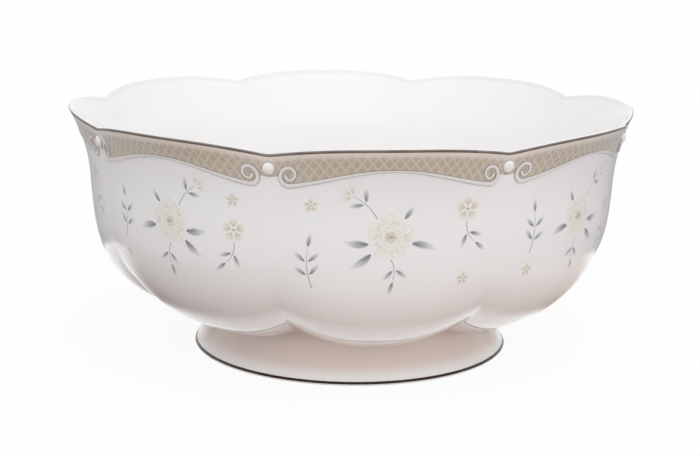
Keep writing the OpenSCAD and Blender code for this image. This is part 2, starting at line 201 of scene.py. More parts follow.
class BowlStage(PropertyGroup):
    """Camera, floor and sky."""

    focal_px: number("Focal length", 1472.4, "Focal length in photograph pixels")
    distance: length("Distance", 672.2, "Camera distance from the point that it looks at")
    aim_h: length("Aim height", 51.6, "Height of the point that the camera looks at")
    aim_side: length("Aim side", 0.55, "How far left of the axis the camera looks")
    azimuth: degrees("Azimuth", -7.33, "Turn of the camera about the bowl")
    elevation: degrees("Elevation", 12.7, "Camera angle above the table")
    roll: degrees("Roll", 0.825, "Roll of the camera")
    floor_near: colour("Floor near", (205, 188, 179), "Light that the floor throws back close to the bowl")
    floor_left: colour("Floor left", (150, 134, 126), "Light that it throws back close by on the left")
    floor_right: colour("Floor right", (228, 214, 207), "Light that it throws back to the right of the bowl")
    floor_bright: colour("Floor bright", (238, 231, 227), "Light that it throws back round the foot")
    floor_far: colour("Floor far", (213, 211, 213), "Light that the floor throws back farther out")
    floor_turn: length("Floor turn", 205, "Distance from the bowl's axis where the one turns into the other")
    floor_glow: length("Floor glow", 98, "Distance from the axis within which the floor is bright")
    floor_mirror: colour("Floor mirrored", (188, 185, 187), "The floor farther out as the glaze mirrors it")
    shadow: number("Shadow", 0.08, "How much of the floor's shadow is seen")
    sky_front: number("Front sky", 0.8, "Light from the front, at its brightest")
    sky_top: number("Top sky", 1.98, "Light from the ring overhead")
    front: FloatVectorProperty(
        name="Front",
        description="Way to the brightest front sky",
        default=(0.03, -0.7, 0.71),
        subtype="DIRECTION",
    )


GROUPS = {
    "bowl_wall": BowlWall,
    "bowl_foot": BowlFoot,
    "bowl_trim": BowlTrim,
    "bowl_flowers": BowlFlowers,
    "bowl_colours": BowlColours,
    "bowl_stage": BowlStage,
}


def wall_props():
    return bpy.context.scene.bowl_wall


def foot_props():
    return bpy.context.scene.bowl_foot


def trim_props():
    return bpy.context.scene.bowl_trim


def flower_props():
    return bpy.context.scene.bowl_flowers


def colours():
    return bpy.context.scene.bowl_colours


def stage_props():
    return bpy.context.scene.bowl_stage


# The wall's form

FLUTE_POWER = 1.5
SLOPE_STEP = 0.05 * MM


def lobe_numbers():
    """The lobes counted from 1, as the nodes are."""
    return range(1, wall_props().lobes + 1)


def lobe_angle():
    return 2 * math.pi / wall_props().lobes


def lobe_middle(i):
    """Angle of the middle of lobe i, counted from 1."""
    return (i - 1) * lobe_angle()


def flute_share(angle):
    """0 at a lobe's middle and 1 in a flute's crease: one less a softened half cosine, to a power."""
    soft = wall_props().crease
    share = angle / lobe_angle()
    side = np.cos(np.pi * (share - np.round(share)))
    level = (np.sqrt(side**2 + soft**2) - soft) / (math.sqrt(1 + soft**2) - soft)
    return (1 - level) ** FLUTE_POWER


def neck_z(flute):
    """Height of the neck line, which arches under a flute."""
    wall = wall_props()
    return wall.neck_h + wall.neck_rise * flute


def edge_z(flute):
    """Height of the lip's outer edge, which dips at a flute."""
    wall = wall_props()
    return wall.lip_h - wall.lip_dip * flute


def wall_r(flute, z):
    """Outside radius: a leaning wall, a belly that fills out up to the turn, and a flare from there up.

    The belly is one less a power of what is left to the turn, to another power. The flare is a power of
    the height.
    """
    wall = wall_props()
    fill = np.clip((z - neck_z(flute)) / (wall.turn_h - neck_z(flute)), 0, 1)
    rise = np.maximum(0, (z - wall.turn_h) / (edge_z(flute) - wall.turn_h))
    bulge = wall.belly_r - wall.neck_r - wall.lean * (wall.turn_h - wall.neck_h)
    straight = wall.neck_r + wall.lean * (edge_z(flute) - neck_z(flute)) + bulge
    flare = wall.lip_r - wall.lip_pinch * flute - straight
    belly = (1 - (1 - fill) ** wall.belly_low) ** (1 / wall.belly_high)
    return wall.neck_r + wall.lean * (z - neck_z(flute)) + bulge * belly + flare * rise**wall.flare_power


def wall_slope(flute, z):
    """Change of the outside radius with height, from two points close together."""
    return (wall_r(flute, z + SLOPE_STEP) - wall_r(flute, z - SLOPE_STEP)) / (2 * SLOPE_STEP)


def around(r, angle, z):
    """Points at radius r, an angle and height z, as an array of x, y and z."""
    r, angle, z = np.broadcast_arrays(r, angle, z)
    return np.stack([r * np.cos(angle), r * np.sin(angle), z], axis=-1)


def on_wall(angle, z, lift):
    """Points on the wall, moved out by lift along the wall's normal in its upright plane."""
    flute = flute_share(angle)
    slope = wall_slope(flute, z)
    size = np.sqrt(1 + slope**2)
    return around(wall_r(flute, z) + lift / size, angle, z - lift * slope / size)


def on_lip(angle, turn, lift):
    """Points on the lip, a half circle from outside (0) over the top to inside (pi), moved out by lift."""
    half = wall_props().lip_t / 2
    flute = flute_share(angle)
    z = edge_z(flute)
    slope = wall_slope(flute, z)
    size = np.sqrt(1 + slope**2)
    out = (half + lift) * np.cos(turn) - half
    up = (half + lift) * np.sin(turn)
    return around(wall_r(flute, z) + (out + up * slope) / size, angle, z + (up - out * slope) / size)


# Meshes from arrays

FILM_SHARP = 40
BODY_SHARP = 50
ENAMEL_SHARP = 60


def even_turns(count):
    """A column of angles that go once round in even steps."""
    return 2 * np.pi * np.arange(count)[:, None] / count


def grid_faces(rows, cols, wrap_rows=False, wrap_cols=False):
    """Quads between neighbours of a grid of points, seen from the side where rows x cols points."""
    steps = np.arange(rows if wrap_rows else rows - 1)
    i, j = np.meshgrid(steps, np.arange(cols if wrap_cols else cols - 1), indexing="ij")
    ahead = (i + 1) % rows
    beside = (j + 1) % cols
    quads = [i * cols + j, ahead * cols + j, ahead * cols + beside, i * cols + beside]
    return np.stack(quads, axis=-1).reshape(-1, 4)


def capped_faces(rows, cols):
    """Quads of a grid that goes round in rows, and fans to the two middle points that follow the grid."""
    low, high = rows * cols, rows * cols + 1
    here = np.arange(rows) * cols
    after = np.roll(here, -1)
    under = np.stack([np.full(rows, low), after, here], axis=-1)
    over = np.stack([np.full(rows, high), here + cols - 1, after + cols - 1], axis=-1)
    return grid_faces(rows, cols, wrap_rows=True).tolist() + under.tolist() + over.tolist()


def shell(outer, inner):
    """Points and quads of a closed thin shell between two equal grids, outer side first."""
    rows, cols = outer.shape[:2]
    count = rows * cols
    top = grid_faces(rows, cols)
    bottom = top[:, ::-1] + count
    first_col = np.arange(rows) * cols
    last_row = (rows - 1) * cols + np.arange(1, cols)
    last_col = first_col[-2::-1] + cols - 1
    rim = np.concatenate([first_col, last_row, last_col, np.arange(cols - 2, 0, -1)])
    after = np.roll(rim, -1)
    sides = np.stack([after, rim, rim + count, after + count], axis=-1)
    points = np.concatenate([outer.reshape(-1, 3), inner.reshape(-1, 3)])
    return points, np.concatenate([top, bottom, sides])


def new_piece(name, points, faces, uv=None, sharp=FILM_SHARP):
    """A smooth mesh object at the origin, with one pair of uv for each point.

    Edges that turn by more than sharp, in degrees, stay sharp.
    """
    mesh = bpy.data.meshes.new(name)
    mesh.from_pydata(points.reshape(-1, 3).tolist(), [], faces)
    mesh.shade_smooth()
    if uv is not None:
        corners = np.empty(len(mesh.loops), dtype=np.int32)
        mesh.loops.foreach_get("vertex_index", corners)
        layer = mesh.uv_layers.new(name="Surface")
        layer.data.foreach_set("uv", uv.reshape(-1, 2)[corners].astype(np.float32).ravel())
    mesh.validate()
    mesh.set_sharp_from_angle(angle=math.radians(sharp))
    piece = bpy.data.objects.new(name, mesh)
    bpy.context.scene.collection.objects.link(piece)
    return piece


def new_ring(name, grid):
    """A closed ring, round the bowl in rows and round its section in columns."""
    return new_piece(name, grid, grid_faces(*grid.shape[:2], wrap_rows=True, wrap_cols=True).tolist())


def settle(piece, materials, node):
    """The piece takes its materials, rides on the bowl and stands for a node, which it hides."""
    for material in materials:
        piece.data.materials.append(material)
    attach(piece, "root")
    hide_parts(node)


# Shader helpers

WHITE = (1.0, 1.0, 1.0)


class Shader:
    """A material with one Principled shader and short calls for the nodes that feed it."""

    def __init__(self, name):
        self.material = bpy.data.materials.new(name)
        self.material.use_nodes = True
        self.tree = self.material.node_tree
        self.bsdf = self.tree.nodes["Principled BSDF"]

    def set(self, **values):
        """Plain values on the shader's own sockets; an underscore in a name is a space."""
        for key, value in values.items():
            self.bsdf.inputs[key.replace("_", " ")].default_value = value
        return self

    def feed(self, socket, output):
        self.tree.links.new(output, self.bsdf.inputs[socket])


def add_node(tree, kind, inputs=None, **settings):
    """A new node with its settings; inputs maps a socket to a value or to another node's output."""
    node = tree.nodes.new(kind)
    for key, value in settings.items():
        setattr(node, key, value)
    for key, value in (inputs or {}).items():
        if isinstance(value, bpy.types.NodeSocket):
            tree.links.new(value, node.inputs[key])
        else:
            node.inputs[key].default_value = value
    return node


def math_node(tree, operation, first, second=0.0, clamp=False):
    """A sum or other function of two values."""
    inputs = {0: first, 1: second}
    return add_node(tree, "ShaderNodeMath", inputs, operation=operation, use_clamp=clamp).outputs[0]


def times(tree, first, second):
    return math_node(tree, "MULTIPLY", first, second)


def less(tree, first, second, clamp=False):
    return math_node(tree, "SUBTRACT", first, second, clamp)


def larger(tree, first, second):
    return math_node(tree, "MAXIMUM", first, second)


def vector_node(tree, operation, first, second=(0.0, 0.0, 0.0)):
    """A function of two vectors, as the node's outputs."""
    return add_node(tree, "ShaderNodeVectorMath", {0: first, 1: second}, operation=operation).outputs


def object_place(tree):
    """Where a point lies in the frame of its piece, in metres."""
    return add_node(tree, "ShaderNodeTexCoord").outputs["Object"]


def parts_of(tree, vector):
    """The X, Y and Z of a vector."""
    return add_node(tree, "ShaderNodeSeparateXYZ", {0: vector}).outputs


def surface_map(tree):
    """The u and v of a piece's own map."""
    parts = parts_of(tree, add_node(tree, "ShaderNodeUVMap", uv_map="Surface").outputs["UV"])
    return parts["X"], parts["Y"]


def noise(tree, place, scale, detail):
    """A soft noise about one half; scale counts its waves to the metre."""
    inputs = {"Vector": place, "Scale": scale, "Detail": detail}
    return add_node(tree, "ShaderNodeTexNoise", inputs).outputs["Fac"]


def ramp(tree, value, low, high, to_low=0.0, to_high=1.0):
    """A smooth step of value from low to high."""
    inputs = {"Value": value, "From Min": low, "From Max": high, "To Min": to_low, "To Max": to_high}
    return add_node(tree, "ShaderNodeMapRange", inputs, interpolation_type="SMOOTHSTEP").outputs["Result"]


def blend_colour(tree, share, first, second):
    """A mix of two colours, each a plain colour or another node's output."""
    full = [c if isinstance(c, bpy.types.NodeSocket) else (*c, 1.0) for c in (first, second)]
    return add_node(tree, "ShaderNodeMix", {0: share, 6: full[0], 7: full[1]}, data_type="RGBA").outputs[2]


def stored(store, name, build):
    """What a store of Blender's holds under a name, built on first use."""
    return store.get(name) or build(name)


def new_group(name, inputs, outputs):
    """A shader node group with float inputs, given with their defaults, and float outputs."""
    group = bpy.data.node_groups.new(name, "ShaderNodeTree")
    for key, value in inputs.items():
        group.interface.new_socket(key, in_out="INPUT", socket_type="NodeSocketFloat").default_value = value
    for key in outputs:
        group.interface.new_socket(key, in_out="OUTPUT", socket_type="NodeSocketFloat")
    return group, group.nodes.new("NodeGroupInput").outputs, group.nodes.new("NodeGroupOutput").inputs


def ripple_group(name):
    """Height of the faint ripple of a fired glaze: a broad soft noise."""
    group, entry, leave = new_group(name, {"Scale": 90.0}, ["Height"])
    group.links.new(noise(group, object_place(group), entry["Scale"], detail=1.0), leave["Height"])
    return group


# The brush: scales of its noises, and ranges over which its masks change
MOTTLE_SCALE = 900.0
STREAKS_ALONG = 1.6
STREAKS_ACROSS = 7.0
STREAK_DRIFT = 90.0
STREAK_RANGE = (0.36, 0.64)
STREAK_REACH = (0.72, 1.28)
TIP_START = 0.3
VEIN_LEAN = 1.6
VEIN_POWER = 8.0
MIDRIB_WIDTH = 0.14
HALF_RANGE = (0.44, 0.56)
RIM_RANGE = (0.35, 0.05)
RIM_AT_TIP = 2.5


def brush_group(name):
    """Masks of one brush stroke on a petal or leaf, from foot to tip in u and from side to side in v.

    Cover fades at the sides and towards the tip, and a soft noise breaks it. Streak is a noise drawn out
    along the stroke. Foot falls from 1 at the foot to 0, farther out where there is a streak. Half is 1 on
    one side of the midrib. Vein is the midrib and a wave of side veins that lean forwards. Rim is 1 along
    the sides and the tip.
    """
    inputs = {"Side Softness": 0.4, "Tip Fade": 0.5, "Mottle": 0.2, "Foot Reach": 0.7, "Vein Count": 4.0}
    group, entry, leave = new_group(name, inputs, ["Cover", "Streak", "Foot", "Half", "Vein", "Rim"])
    u, v = surface_map(group)
    place = object_place(group)
    side = math_node(group, "ABSOLUTE", less(group, times(group, v, 2.0), 1.0))
    edge = less(group, 1.0, side)
    drawn = {0: times(group, u, STREAKS_ALONG), 1: times(group, v, STREAKS_ACROSS)}
    drawn[2] = times(group, parts_of(group, place)["Z"], STREAK_DRIFT)
    drift = add_node(group, "ShaderNodeCombineXYZ", drawn).outputs[0]
    streak = ramp(group, noise(group, drift, scale=1.0, detail=2.0), *STREAK_RANGE)
    reach = times(group, entry["Foot Reach"], ramp(group, streak, 0.0, 1.0, *STREAK_REACH))
    body = ramp(group, edge, 0.0, entry["Side Softness"])
    tip = times(group, ramp(group, u, TIP_START, 1.0), entry["Tip Fade"])
    mottle = times(group, noise(group, place, MOTTLE_SCALE, detail=3.0), entry["Mottle"])
    lean = less(group, times(group, u, VEIN_LEAN), side)
    wave = math_node(group, "COSINE", times(group, lean, times(group, entry["Vein Count"], math.pi)))
    veins = math_node(group, "POWER", math_node(group, "ABSOLUTE", wave), VEIN_POWER)
    near = math_node(group, "MINIMUM", edge, times(group, less(group, 1.0, u), RIM_AT_TIP))
    masks = {
        "Cover": less(group, times(group, body, less(group, 1.0, tip)), mottle, clamp=True),
        "Streak": streak,
        "Foot": ramp(group, u, reach, 0.0),
        "Half": ramp(group, v, *HALF_RANGE),
        "Vein": larger(group, veins, ramp(group, side, MIDRIB_WIDTH, 0.0)),
        "Rim": ramp(group, near, *RIM_RANGE),
    }
    for key, output in masks.items():
        group.links.new(output, leave[key])
    return group


# Finishes

CERAMIC_IOR = 1.5
GLAZE_ROUGHNESS = 0.06
FOOT_ROUGHNESS = 0.16
FOOT_COAT = 0.4
RIPPLE_DEPTH = 0.03 * MM
MILK_RADIUS = (1.0, 0.9, 0.8)
BARE_EDGE = (0.1 * MM, 0.4 * MM)
BARE_ROUGHNESS = 0.65
# Heights over which the foot turns from white into its painted shade
FOOT_SHADE_RISE = (2 * MM, 8 * MM)
LIP_REACH_MM = 2.0
LIP_START_MM = 0.3 * LIP_REACH_MM
NOISE_RANGE = (0.3, 0.7)
NOISE_MIDDLE = (0.35, 0.65)
UNEVENNESS = 0.035
FOOT_LINE_SHADE_RISE = (20 * MM, 10 * MM)


def glazed(name):
    """A shader with a clear gloss and the faint ripple of a fired glaze."""
    shader = Shader(name)
    group = stored(bpy.data.node_groups, "glaze_ripple", ripple_group)
    ripple = add_node(shader.tree, "ShaderNodeGroup", node_tree=group)
    bump = {"Height": ripple.outputs["Height"], "Distance": RIPPLE_DEPTH}
    shader.feed("Normal", add_node(shader.tree, "ShaderNodeBump", bump).outputs["Normal"])
    shader.set(Coat_Weight=1.0, Coat_Roughness=GLAZE_ROUGHNESS, Coat_IOR=CERAMIC_IOR)
    return shader.set(Roughness=GLAZE_ROUGHNESS, IOR=CERAMIC_IOR)


def milky(shader, weight, depth):
    """Light goes a little way into the body, red farthest."""
    return shader.set(Subsurface_Weight=weight, Subsurface_Radius=MILK_RADIUS, Subsurface_Scale=depth)


def finish(name, build):
    """The material of that name as the list of materials of a piece, built on first use."""
    return [stored(bpy.data.materials, name, build)]


def white_finish(name, high, roughness, coat):
    """White body under a clear gloss, faintly uneven, whose tone turns into high a little above the table.

    On the edge that stands on the table it is bare and dull. On the foot, high is painted shade that darkens
    it under the belly. The map's v says how near the lip is, in millimetres up to it; close to the lip the
    tone turns into the lip's painted shade, which tones down its brightly lit top.
    """
    shader = milky(glazed(name), weight=0.1, depth=2.0 * MM).set(Coat_Roughness=roughness)
    tree = shader.tree
    place = object_place(tree)
    height = parts_of(tree, place)["Z"]
    rise = surface_map(tree)[1]
    # On the foot, painted shade darkens the tone above the table, under the belly
    white = blend_colour(tree, ramp(tree, height, *FOOT_SHADE_RISE), colours().porcelain, high)
    # Painted shade on the lip's brightly lit top, close to the lip
    white = blend_colour(tree, ramp(tree, rise, LIP_START_MM, LIP_REACH_MM), white, colours().lip_painted_shade)
    tone = ramp(tree, noise(tree, place, scale=25.0, detail=2.0), *NOISE_MIDDLE, 0.0, UNEVENNESS)
    body = blend_colour(tree, tone, white, colours().bisque)
    bare = ramp(tree, height, *reversed(BARE_EDGE))
    shader.feed("Base Color", blend_colour(tree, bare, body, colours().bisque))
    shader.feed("Roughness", ramp(tree, height, *BARE_EDGE, BARE_ROUGHNESS, roughness))
    shader.feed("Coat Weight", ramp(tree, height, *BARE_EDGE, 0.0, coat))
    return shader.material


def porcelain_finish(name):
    return white_finish(name, colours().porcelain, GLAZE_ROUGHNESS, 1.0)


def foot_finish(name):
    return white_finish(name, colours().foot_painted_shade, FOOT_ROUGHNESS, FOOT_COAT)


def slip_finish(name):
    """Dull fired slip with a fine grain."""
    shader = Shader(name).set(Roughness=0.8)
    tree = shader.tree
    tone = ramp(tree, noise(tree, object_place(tree), scale=1200.0, detail=3.0), *NOISE_RANGE)
    shader.feed("Base Color", blend_colour(tree, tone, colours().slip, colours().bisque))
    return shader.material


def platinum_finish(name):
    """Burnished metal, faintly streaked in tone and roughness, with painted shade that darkens it near the
    table.
    """
    shader = Shader(name).set(Metallic=1.0)
    tree = shader.tree
    place = object_place(tree)
    streaks = noise(tree, place, scale=160.0, detail=2.0)
    shader.feed("Roughness", ramp(tree, streaks, *NOISE_RANGE, to_low=0.18, to_high=0.34))
    tone = ramp(tree, streaks, *NOISE_MIDDLE, to_high=0.3)
    metal = blend_colour(tree, tone, colours().platinum, colours().worn_and_shaded_platinum)
    # Painted shade: the metal darkens near the table, where the foot line lies under the belly
    low = ramp(tree, parts_of(tree, place)["Z"], *FOOT_LINE_SHADE_RISE)
    shader.feed("Base Color", blend_colour(tree, low, metal, colours().worn_and_shaded_platinum))
    return shader.material


HALF_CELL = 0.5
CELL_RANGE = (0.05, 0.24)
CELL_MIDDLE = (0.28, 0.46)
FADE_RANGE = (0.72, 0.14)


def trellis_finish(name):
    """Pale lines that cross in diamonds over taupe cells and fade under the lip.

    The map's u counts cells along the lip and its v down from it.
    """
    shader = glazed(name)
    tree = shader.tree
    u, v = surface_map(tree)
    slants = [math_node(tree, operation, u, v) for operation in ("ADD", "SUBTRACT")]
    lines = [math_node(tree, "PINGPONG", slant, HALF_CELL) for slant in slants]
    near = math_node(tree, "MINIMUM", *lines)
    share = less(tree, ramp(tree, near, *CELL_RANGE), ramp(tree, near, *CELL_MIDDLE, to_high=0.25))
    print_tone = blend_colour(tree, share, colours().trellis_line, colours().trellis_ground)
    fade = ramp(tree, v, *FADE_RANGE)
    shader.feed("Base Color", blend_colour(tree, fade, print_tone, colours().trellis_fade))
    return shader.material


OUTLINE_MM = 0.2
OUTLINE_RANGE = (1.3 * OUTLINE_MM, 0.7 * OUTLINE_MM)


def relief_finish(name):
    """White ribbon with a thin line along each side; v is the distance from its edge in millimetres."""
    shader = glazed(name)
    line = ramp(shader.tree, surface_map(shader.tree)[1], *OUTLINE_RANGE)
    shader.feed("Base Color", blend_colour(shader.tree, line, colours().relief, colours().outline))
    return shader.material


def pearl_finish(name):
    """Milky enamel, a little warmer in its depth."""
    shader = milky(glazed(name), weight=0.15, depth=1.0 * MM)
    tree = shader.tree
    tone = ramp(tree, noise(tree, object_place(tree), scale=300.0, detail=1.0), *NOISE_RANGE, to_high=0.25)
    shader.feed("Base Color", blend_colour(tree, tone, colours().pearl, colours().porcelain))
    return shader.material


# For each painted finish its light and dark colour, the weights of the masks and the values of the brush.
STROKES = {
    "painted_petal": (
        ("petal", "petal_shade"),
        {"Foot": 0.75, "Rim": 0.3, "Streak": 0.06, "Half": 0.06},
        {"Side Softness": 0.25, "Tip Fade": 0.1, "Mottle": 0.1, "Foot Reach": 0.8},
    ),
    "painted_heart": (
        ("petal_shade", "heart"),
        {"Foot": 0.3, "Vein": 0.6, "Half": 0.3},
        {"Side Softness": 0.5, "Tip Fade": 0.1, "Mottle": 0.3, "Vein Count": 3.0},
    ),
    "painted_leaf": (
        ("leaf_light", "leaf"),
        {"Foot": 0.7, "Streak": 0.2, "Half": 0.12, "Vein": 0.25},
        {"Side Softness": 0.7, "Tip Fade": 0.65, "Mottle": 0.25, "Foot Reach": 0.6, "Vein Count": 3.0},
    ),
    "painted_stem": (
        ("stem", "leaf"),
        {"Half": 0.3, "Foot": 0.2},
        {"Side Softness": 0.6, "Tip Fade": 0.2, "Mottle": 0.15},
    ),
    "painted_star": (
        ("star", "star_shade"),
        {"Foot": 0.75, "Streak": 0.2, "Rim": 0.15},
        {"Side Softness": 0.4, "Tip Fade": 0.35, "Mottle": 0.2, "Foot Reach": 0.8},
    ),
}
PETAL, HEART, LEAF, STEM, STAR = range(len(STROKES))


def stroke_finish(name):
    """A painted petal or leaf: thin colour that deepens with the weighted masks of the brush."""
    tones, weights, values = STROKES[name]
    light, dark = [getattr(colours(), tone) for tone in tones]
    shader = glazed(name)
    tree = shader.tree
    group = stored(bpy.data.node_groups, "brush_stroke", brush_group)
    masks = add_node(tree, "ShaderNodeGroup", values, node_tree=group).outputs
    deep = 0.0
    for key, weight in weights.items():
        deep = math_node(tree, "ADD", times(tree, masks[key], weight), deep, clamp=True)
    paint = blend_colour(tree, deep, light, dark)
    shader.feed("Base Color", blend_colour(tree, masks["Cover"], colours().porcelain, paint))
    return shader.material


# Porcelain

BODY_STEPS = 64
FOOT_STEPS = 32
FOOT_RINGS = 60
EDGE_RINGS = 7
FLUTE_CROWDING = 0.6
BELLY_CROWDING = 1.7
SLOPE_CROWDING = 1.5
DISH_POWER = 2
LOBE_POWER = 6


def lobe_steps(count):
    """Angles round the bowl, closer together at the flutes: a sine pulls each lobe's steps outwards."""
    lobes = wall_props().lobes
    share = np.arange(lobes * count) / count
    return lobe_angle() * (share + FLUTE_CROWDING * np.sin(2 * np.pi * share) / (2 * np.pi))


def body_grid(angles, belly_rings=46, flare_rings=30, lip_rings=12, floor_rings=16):
    """Meridians of the bowl from the boss under its base, up the wall, over the lip and down to the floor.

    The lip lies a film's thickness inside its solid, so that nothing stands past it. The floor is a dish
    that rises as one power of the radius, and as a higher one to meet the lobes.
    """
    wall, foot = wall_props(), foot_props()
    angle = angles[:, None]
    flute = flute_share(angle)
    low = neck_z(flute)
    belly = low + (wall.turn_h - low) * (np.arange(belly_rings + 1) / belly_rings) ** BELLY_CROWDING
    flare = wall.turn_h + (edge_z(flute) - wall.turn_h) * np.arange(1, flare_rings + 1) / flare_rings
    z = np.concatenate([belly, flare], axis=1)
    thick = wall.neck_t + (wall.lip_t - wall.neck_t) * (z - low) / (edge_z(flute) - low)
    boss = wall.neck_r - foot.joint_w
    base_r = np.array([boss, boss, wall.neck_r])
    base_z = np.array([foot.joint_h - foot.boss_h, foot.joint_h, foot.joint_h])
    turn = np.pi * np.arange(1, lip_rings + 1) / lip_rings
    inside = on_wall(angle, z, -thick)[:, -2::-1]
    last = inside[:, -1:]
    last_r = np.hypot(last[..., 0], last[..., 1])
    level = wall.neck_h + wall.neck_t
    share = np.arange(floor_rings - 1, 0, -1) / floor_rings
    dish = (level - wall.floor_h) * share**DISH_POWER
    floor_z = wall.floor_h + dish + (last[..., 2] - level) * share**LOBE_POWER
    stretches = [
        around(base_r, angle, base_z),
        on_wall(angle, z, 0.0),
        on_lip(angle, turn, -trim_props().film_t),
        inside,
        around(last_r * share, angle, floor_z),
    ]
    return np.concatenate(stretches, axis=1)


class BOWL_OT_body(Operator):
    """Lobed porcelain body."""

    bl_idname = "bowl.body"
    bl_label = "Bowl body"

    def execute(self, context):
        wall, foot = wall_props(), foot_props()
        angles = lobe_steps(BODY_STEPS)
        grid = body_grid(angles)
        middles = np.array([[0, 0, foot.joint_h - foot.boss_h], [0, 0, wall.floor_h]])
        points = np.concatenate([grid.reshape(-1, 3), middles])
        above = (grid[..., 2] - edge_z(flute_share(angles))[:, None]) / MM
        rise = np.concatenate([np.maximum(0, above + LIP_REACH_MM).ravel(), np.zeros(len(middles))])
        uv = np.stack([np.zeros(len(rise)), rise], axis=-1)
        bowl = new_piece("glazed_bowl", points, capped_faces(*grid.shape[:2]), uv, BODY_SHARP)
        settle(bowl, finish("glazed_porcelain", porcelain_finish), "bowl_body")
        return {"FINISHED"}


def foot_r(z):
    """Outside radius of the foot: a slope that eases into the neck, and a kick that fades exponentially.

    The eased slope is the logarithm of one plus an exponential, which runs from a straight line into zero.
    """
    wall, foot = wall_props(), foot_props()
    slope = foot.ease * np.log1p(np.exp((1 - z / foot.joint_h) / foot.ease))
    return wall.neck_r + (foot.slope_r - wall.neck_r) * slope + foot.kick * np.exp(-z / foot.kick_h)


class BOWL_OT_foot(Operator):
    """Flared foot ring, with the glaze that covers the joint, and the slip that joins it to the body."""

    bl_idname = "bowl.foot"
    bl_label = "Foot ring"

    def execute(self, context):
        wall, foot = wall_props(), foot_props()
        top = foot.joint_h - foot.slip_t
        bore = wall.neck_r - foot.joint_w + foot.boss_gap
        turn = np.linspace(0, np.pi / 2, EDGE_RINGS)
        outer_edge = foot_r(foot.edge) - foot.edge + foot.edge * np.sin(turn)
        edge_rise = foot.edge * (1 - np.cos(turn))
        angle = lobe_steps(FOOT_STEPS)[:, None]
        cover = neck_z(flute_share(angle)) + foot.edge
        z = foot.edge + (cover - foot.edge) * np.linspace(0, 1, FOOT_RINGS)[1:] ** SLOPE_CROWDING
        inner_r = foot.bore_r + foot.edge * (1 - np.sin(turn))
        seat_r = np.array([wall.neck_r, bore, bore])
        seat_z = np.array([top, top, foot.joint_h - foot.boss_h])
        stretches = [
            around(outer_edge, angle, edge_rise),
            around(foot_r(z), angle, z),
            around(wall.neck_r, angle, cover),
            around(seat_r, angle, seat_z),
            around(inner_r[::-1], angle, edge_rise[::-1]),
        ]
        ring = new_ring("glazed_foot", np.concatenate(stretches, axis=1))
        settle(ring, finish("foot_porcelain_with_painted_shade", foot_finish), "foot_ring")
        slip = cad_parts["luting_slip"]
        slip.data.materials.clear()
        slip.data.materials.append(stored(bpy.data.materials, "fired_slip", slip_finish))
        return {"FINISHED"}


# Metal lines

LIP_LINE_RINGS = 13
FOOT_LINE_RINGS = 5
FOOT_LINE_STEPS = 256


class BOWL_OT_metal_lines(Operator):
    """Platinum lines round the lip and the foot."""

    bl_idname = "bowl.metal_lines"
    bl_label = "Platinum lines"

    def execute(self, context):
        trim = trim_props()
        angle = lobe_steps(BODY_STEPS)[:, None]
        down = edge_z(flute_share(angle)) - trim.lip_line_w
        over = trim.lip_line_turn * np.linspace(0, 1, LIP_LINE_RINGS)
        z = trim.foot_line_h + trim.foot_line_w * np.linspace(0, 1, FOOT_LINE_RINGS)
        lip, foot = [], []
        for lift in (trim.film_t, 0.0):
            lip.append(np.concatenate([on_wall(angle, down, lift), on_lip(angle, over, lift)], axis=1))
            foot.append(around(foot_r(z) + lift, even_turns(FOOT_LINE_STEPS), z))
        metal = finish("burnished_platinum", platinum_finish)
        for name, sides, node in (("platinum_lip", lip, "lip_line"), ("platinum_foot", foot, "foot_line")):
            section = np.concatenate([sides[0], sides[1][:, ::-1]], axis=1)
            settle(new_ring(name, section), metal, node)
        return {"FINISHED"}


# The band under the lip

BAND_STEPS = 161
BAND_RINGS = 13


def band_r():
    """Mean radius of the lip, by which lengths along the band turn into angles."""
    wall = wall_props()
    return wall.lip_r - wall.lip_pinch / 2


def band_half():
    """Half a lobe's length along the lip."""
    return math.pi * band_r() / wall_props().lobes


def curl_place():
    """Distance along the lip from a lobe's middle to the middle of a curl."""
    trim = trim_props()
    return band_half() - trim.pearl_d / 2 - trim.pearl_gap - trim.ribbon_w / 2 - trim.curl_r


def band_depth(along):
    """Depth of the band's lower edge: half a cosine out to the curl, then up to the curl's middle."""
    trim = trim_props()
    share = np.minimum(1, np.abs(along) / curl_place())
    ogee = trim.band_mid + (trim.band_low - trim.band_mid) * (1 - np.cos(np.pi * share)) / 2
    return ogee - trim.curl_r * np.clip((np.abs(along) - curl_place()) / trim.curl_r, 0, 1)


def on_band(i, along, down, lift):
    """Points on the wall of lobe i, along the lip from the lobe's middle and down from the lip."""
    angle = lobe_middle(i) + along / band_r()
    return on_wall(angle, edge_z(flute_share(angle)) - down, lift)


class BOWL_OT_trellis(Operator):
    """Printed trellis panels under the lip."""

    bl_idname = "bowl.trellis"
    bl_label = "Trellis panels"

    def execute(self, context):
        trim = trim_props()
        along = np.linspace(-band_half(), band_half(), BAND_STEPS)[:, None]
        share = np.linspace(1, 0, BAND_RINGS)
        down = trim.lip_line_w + (band_depth(along) - trim.lip_line_w) * share
        count = along / band_half() * trim.cells / 2
        cells = np.stack(np.broadcast_arrays(count, down / trim.cell_h), axis=-1)
        for i in lobe_numbers():
            points, faces = shell(on_band(i, along, down, trim.film_t), on_band(i, along, down, 0.0))
            panel = new_piece(f"trellis_panel_{i}", points, faces.tolist(), np.concatenate([cells, cells]))
            settle(panel, finish("printed_trellis", trellis_finish), f"trellis_{i}")
        return {"FINISHED"}


EYE_SHARE = 0.55
BEAD_SWELL = 0.5
BEAD_PLACE = 1.4
BEAD_LEAST = 0.05
RIBBON_ROUNDING = 0.6
RIBBON_RINGS = 11


